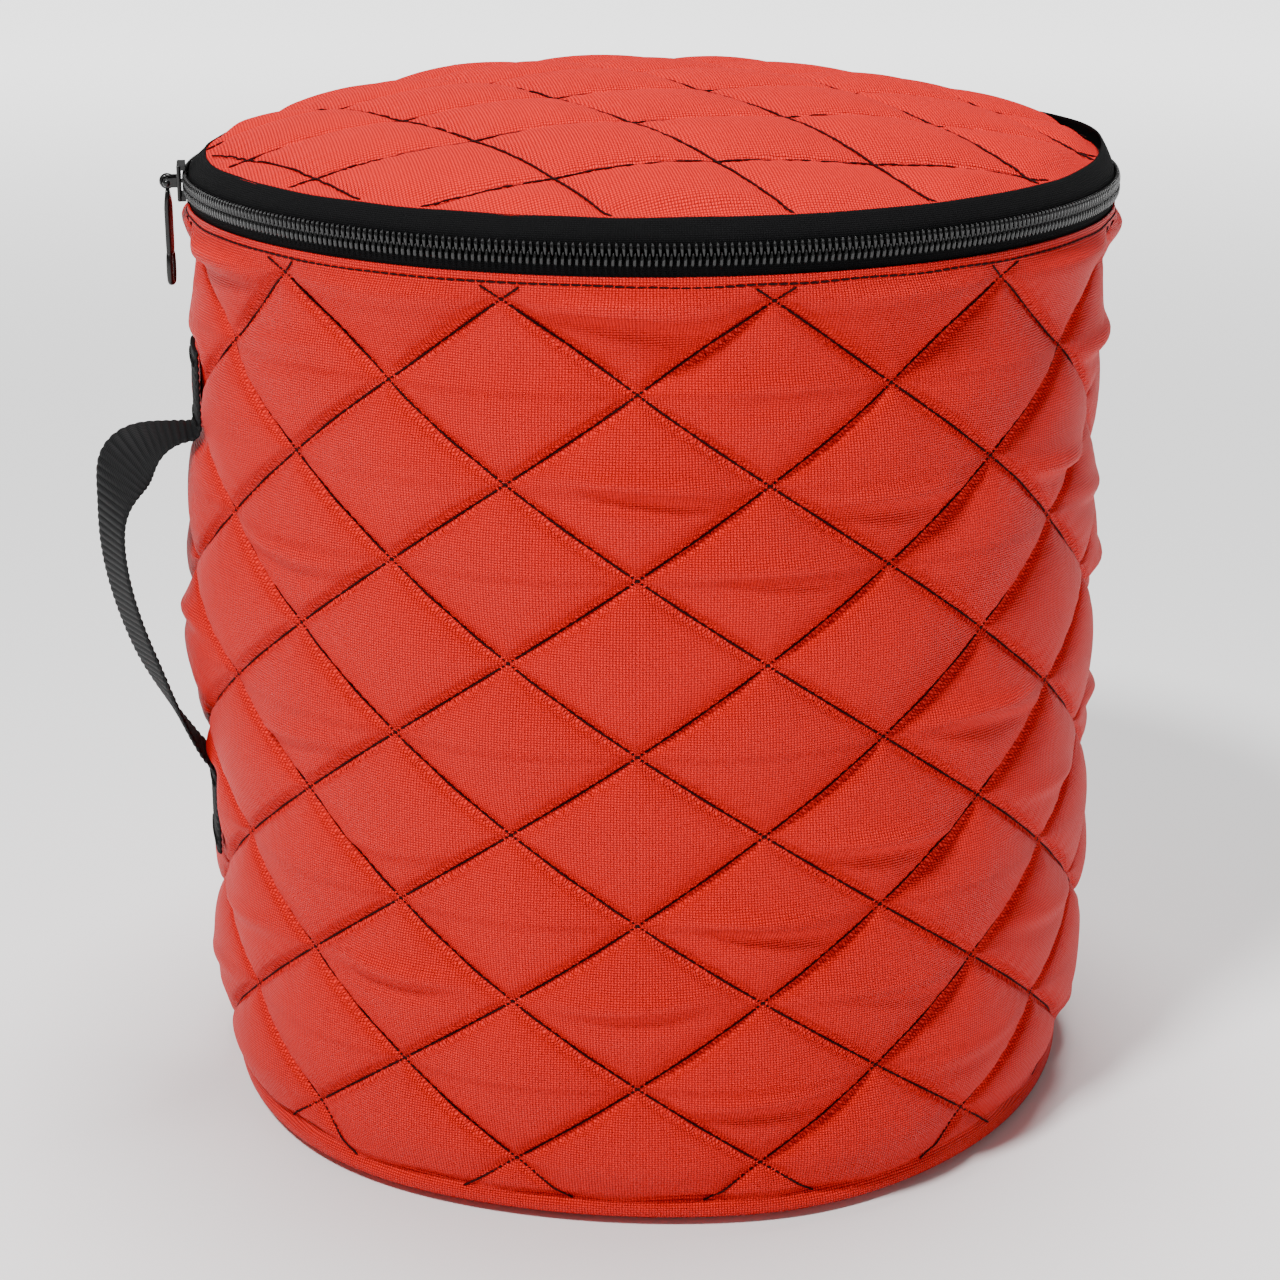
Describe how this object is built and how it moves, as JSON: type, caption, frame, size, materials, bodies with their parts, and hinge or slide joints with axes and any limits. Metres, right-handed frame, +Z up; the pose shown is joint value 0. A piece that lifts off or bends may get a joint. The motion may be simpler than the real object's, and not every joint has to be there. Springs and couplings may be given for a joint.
{
  "type": "drum bag",
  "caption": "Round padded drum-shaped storage bag in quilted fabric, with a hinged lid closed by a zip round the rim and a webbing side handle.",
  "frame": {"origin": "centre of the base, on the surface the bag stands on", "axes": "+Z up along the drum's axis, +Y towards the lid's hinge at the back, -X towards the side handle"},
  "size_m": [0.3125, 0.2847, 0.3135],
  "materials": {
    "shell_fabric": "woven, matte",
    "lid_fabric": "woven, matte",
    "wadding": "soft, matte",
    "lining_fabric": "plain woven, matte",
    "binding": "ribbed tape, matte",
    "thread": "twisted thread",
    "zip_tape": "herringbone tape, matte",
    "zip_coil": "glossy monofilament",
    "zip_metal": "black enamel",
    "pull_enamel": "black enamel",
    "webbing": "ribbed webbing, low sheen",
    "webbing_thread": "twisted thread"
  },
  "bodies": {
    "drum": {"wall_shell": "shell_fabric", "wall_wadding": "wadding", "wall_lining": "lining_fabric", "wall_seam_binding": "binding", "rim_binding": "binding", "rim_topstitch": "thread", "base_shell": "shell_fabric", "base_wadding": "wadding", "base_lining": "lining_fabric", "base_seam_binding": "binding", "zip_tape_lower": "zip_tape", "zip_coil_lower": "zip_coil", "zip_stops_lower": "zip_metal", "hinge_panel_lower": "binding", "handle_tail_upper": "webbing", "handle_tail_lower": "webbing", "handle_root_upper": "webbing", "handle_root_lower": "webbing", "handle_tacks": "webbing_thread"},
    "lid": {"lid_shell": "lid_fabric", "lid_wadding": "wadding", "lid_lining": "lining_fabric", "lid_binding": "binding", "zip_tape_upper": "zip_tape", "zip_coil_upper": "zip_coil", "zip_stops_upper": "zip_metal", "hinge_panel_upper": "binding"},
    "slider": {"slider_body": "zip_metal", "slider_crown": "zip_metal"},
    "pull": {"pull_tab": "pull_enamel"},
    "grip": {"handle_grip": "webbing"}
  },
  "joints": [
    {"name": "lid_open", "type": "hinge", "parent": "drum", "child": "lid", "pos_m": [0, 0.1416, 0.2884], "axis": [-1, 0, 0], "range_deg": [0, 170]},
    {"name": "slider_travel", "type": "hinge", "parent": "drum", "child": "slider", "pos_m": [0, 0, 0.2884], "axis": [0, 0, 1], "range_deg": [-70, 234]},
    {"name": "pull_flip", "type": "hinge", "parent": "slider", "child": "pull", "pos_m": [-0.14597, -0.02051, 0.2884], "axis": [-0.1392, 0.9903, 0], "range_deg": [-6, 170]},
    {"name": "handle_swing", "type": "hinge", "parent": "drum", "child": "grip", "pos_m": [-0.14037, -0.02729, 0.163], "axis": [0, 0, 1], "range_deg": [-38, 38]}
  ]
}
